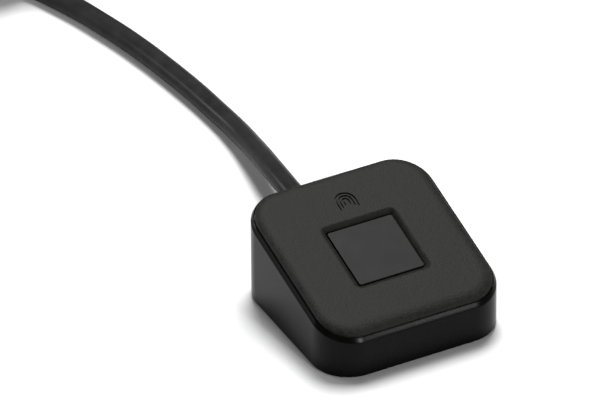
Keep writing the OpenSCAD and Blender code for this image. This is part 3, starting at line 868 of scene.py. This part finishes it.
def node_size(name):
    """Length of a plug's node along X, and half its width and height."""
    low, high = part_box(name)
    return high.x - low.x, (high.y - low.y) / 2, (high.z - low.z) / 2


def make_plug():
    place = plug_frame()
    relief_len = node_size("plug_strain_relief")[0]
    grip = node_size("plug_grip")
    shell = node_size("plug_shell")
    tip = relief_len + grip[0] + (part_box("plug_grip")[0].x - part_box("plug_shell")[0].x)
    return [
        make_plug_relief(place, relief_len),
        make_grip(place, relief_len, *grip, *shell[1:]),
        make_shell(place, tip, *shell),
    ]


def make_plug_relief(place, length):
    """Ribbed taper, thicker towards the grip."""
    thin = cord_r + 0.3 * MM
    thick = 3.3 * MM
    edge = 0.15 * MM
    plain = MM
    rib_depth = 0.3 * MM
    profile = [(BORE_R, length), (BORE_R, 0), (thin - edge, 0), (thin, edge)]
    for t, depth in ribs_along(4):
        x = plain + (length - 2 * plain) * t
        profile.append((thin + (thick - thin) * x / length - rib_depth * depth, x))
    profile.append((thick, length))
    turn = place @ Matrix.Rotation(pi / 2, 4, "Y")
    boot = turned("plug_boot", profile, turn, 48, RIB_SHARP)
    return add_piece(boot, "plug_plastic", "plug_strain_relief")


def make_grip(place, start, length, half_y, half_z, shell_w, shell_h):
    """Overmould: narrow at the lead, full width by a quarter, ribbed sides, soft ends."""
    grown_by = 0.24
    narrow = 0.56
    low_end = 0.88
    corner = 2.2 * MM
    ribs = 4
    rib_from = 0.34
    rib_to = 0.72
    rib_depth = 0.35 * MM
    end_round = 0.9 * MM
    pocket_depth = 4 * MM
    pocket_gap = 0.05 * MM
    pocket_r = 0.5 * MM
    rings = []
    steps = 72
    for i in range(steps + 1):
        t = i / steps
        grown = eased_step(t / grown_by)
        wide = half_y * (narrow + (1 - narrow) * grown)
        tall = half_z * (low_end + (1 - low_end) * grown)
        near_end = min(t * length, (1 - t) * length)
        lost = end_round * (1 - (1 - (1 - min(near_end / end_round, 1)) ** 2) ** 0.5)
        if rib_from < t < rib_to:
            phase = (t - rib_from) / (rib_to - rib_from) * ribs
            wide -= rib_depth * (0.5 - 0.5 * cos(2 * pi * phase)) ** 2
        rings.append(section(place, start + length * t, wide - lost, tall - lost, corner))
    grip = loft("plug_overmould", rings, angle=SOFT_SHARP)
    half_pocket = (shell_w + pocket_gap, shell_h + pocket_gap)
    pocket = loft("pocket", [
        section(place, start + length + x, *half_pocket, pocket_r, 4)
        for x in (-pocket_depth, pocket_depth)
    ])
    cut(grip, pocket, SOFT_SHARP)
    return add_piece(grip, "plug_plastic", "plug_grip")


def make_shell(place, tip, length, half_y, half_z):
    """Folded steel sheet, open at the tip, with the four spring windows."""
    sheet = 0.3 * MM
    outer_r = 0.5 * MM
    arc = 6
    rings = [section(place, tip - length, half_y, half_z, outer_r, arc)]
    for a in quarter(4):
        x = tip - sheet / 2 * (1 - sin(a))
        inset = sheet / 2 * (1 - cos(a))
        rings.append(section(place, x, half_y - inset, half_z - inset, outer_r - inset, arc))
    for x in (tip - sheet / 2, tip - length + sheet):
        rings.append(section(place, x, half_y - sheet, half_z - sheet, outer_r - sheet, arc))
    shell = loft("plug_metal", rings, angle=SOFT_SHARP)
    window_w = 2.5 * MM
    window_l = 2 * MM
    window_x = tip - 6.5 * MM
    window_y = 2.9 * MM
    windows = []
    for side in (-1, 1):
        y0 = side * window_y - window_w / 2
        y1 = side * window_y + window_w / 2
        x1 = window_x + window_l
        outline = ((window_x, y0), (x1, y0), (x1, y1), (window_x, y1))
        windows.append(loft(f"window_{side + 1}", [
            [place @ Vector((x, y, z)) for x, y in outline] for z in (-2 * half_z, 2 * half_z)
        ]))
    cut(shell, join(windows), SOFT_SHARP)
    return add_piece(shell, "plug_steel", "plug_shell")


# ---- foot pad ----

def make_pad():
    low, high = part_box("foot_pad")
    half = high.x
    corner = 5.8 * MM
    edge = 0.25 * MM
    rings = [[Vector((x, y, high.z)) for x, y in rounded(half, half, corner)]]
    for a in quarter(5):
        inset = edge * (1 - cos(a))
        z = low.z + edge * (1 - sin(a))
        outline = rounded(half - inset, half - inset, corner - inset)
        rings.append([Vector((x, y, z)) for x, y in outline])
    add_piece(loft("rubber_foot", rings), "rubber_pad", "foot_pad")


# ---- stage ----

FLOOR_HALF = 6
FLOOR_DARK = (0.86,) * 3
FLOOR_LIGHT = (0.88,) * 3
WORLD_COLOUR = (1, 1, 1, 1)
WORLD_STRENGTH = 0.085

# Softboxes: place and aim in metres, size in metres, power in watts
LIGHTS = {
    "softbox_key": ((0.12, 0.2, 0.56), (0, 0.03, 0), (0.22, 0.3), 4.55),
    "softbox_corner": ((0.06, -0.55, 0.185), (-0.01, -0.02, 0), (0.04, 0.05), 0.9),
    "softbox_front": ((0.25, -0.52, 0.18), (0, -0.02, 0), (0.1, 0.06), 0.45),
    "softbox_back": ((-0.45, 0.62, 0.2), (0, 0.05, 0), (0.2, 0.07), 2),
    "softbox_left": ((-0.62, 0.42, 0.15), (0, 0, 0), (0.2, 0.12), 0.16),
}


def area_light(name, place, aim, size, power):
    data = bpy.data.lights.new(name, "AREA")
    data.shape = "RECTANGLE"
    data.size, data.size_y = size
    data.energy = power
    lamp = bpy.data.objects.new(name, data)
    scene.collection.objects.link(lamp)
    lamp.location = place
    lamp.rotation_mode = "QUATERNION"
    lamp.rotation_quaternion = (Vector(aim) - Vector(place)).to_track_quat("-Z", "Y")


def make_stage():
    half = FLOOR_HALF
    corners = [(-half, -half, 0), (half, -half, 0), (half, half, 0), (-half, half, 0)]
    floor = new_mesh("floor", corners, [(0, 1, 2, 3)])
    s = Shader("floor_paper")
    fibre = s.noise(0.6 * MM, FINE_NOISE)
    floor.data.materials.append(s.finish(
        Base_Color=s.colours(fibre, FLOOR_DARK, FLOOR_LIGHT),
        Roughness=0.9,
        Specular_IOR_Level=0.1,
    ))
    world = bpy.data.worlds.new("studio")
    world.use_nodes = True
    background = world.node_tree.nodes["Background"].inputs
    background["Color"].default_value = WORLD_COLOUR
    background["Strength"].default_value = WORLD_STRENGTH
    scene.world = world
    for name, values in LIGHTS.items():
        area_light(name, *values)
    scene.view_settings.view_transform = "Standard"


make_camera()
boot = make_strain_relief()
tie = make_tie()
plug = make_plug()
lead = make_cord()
make_housing()
make_cover()
make_tile()
make_pad()
make_stage()
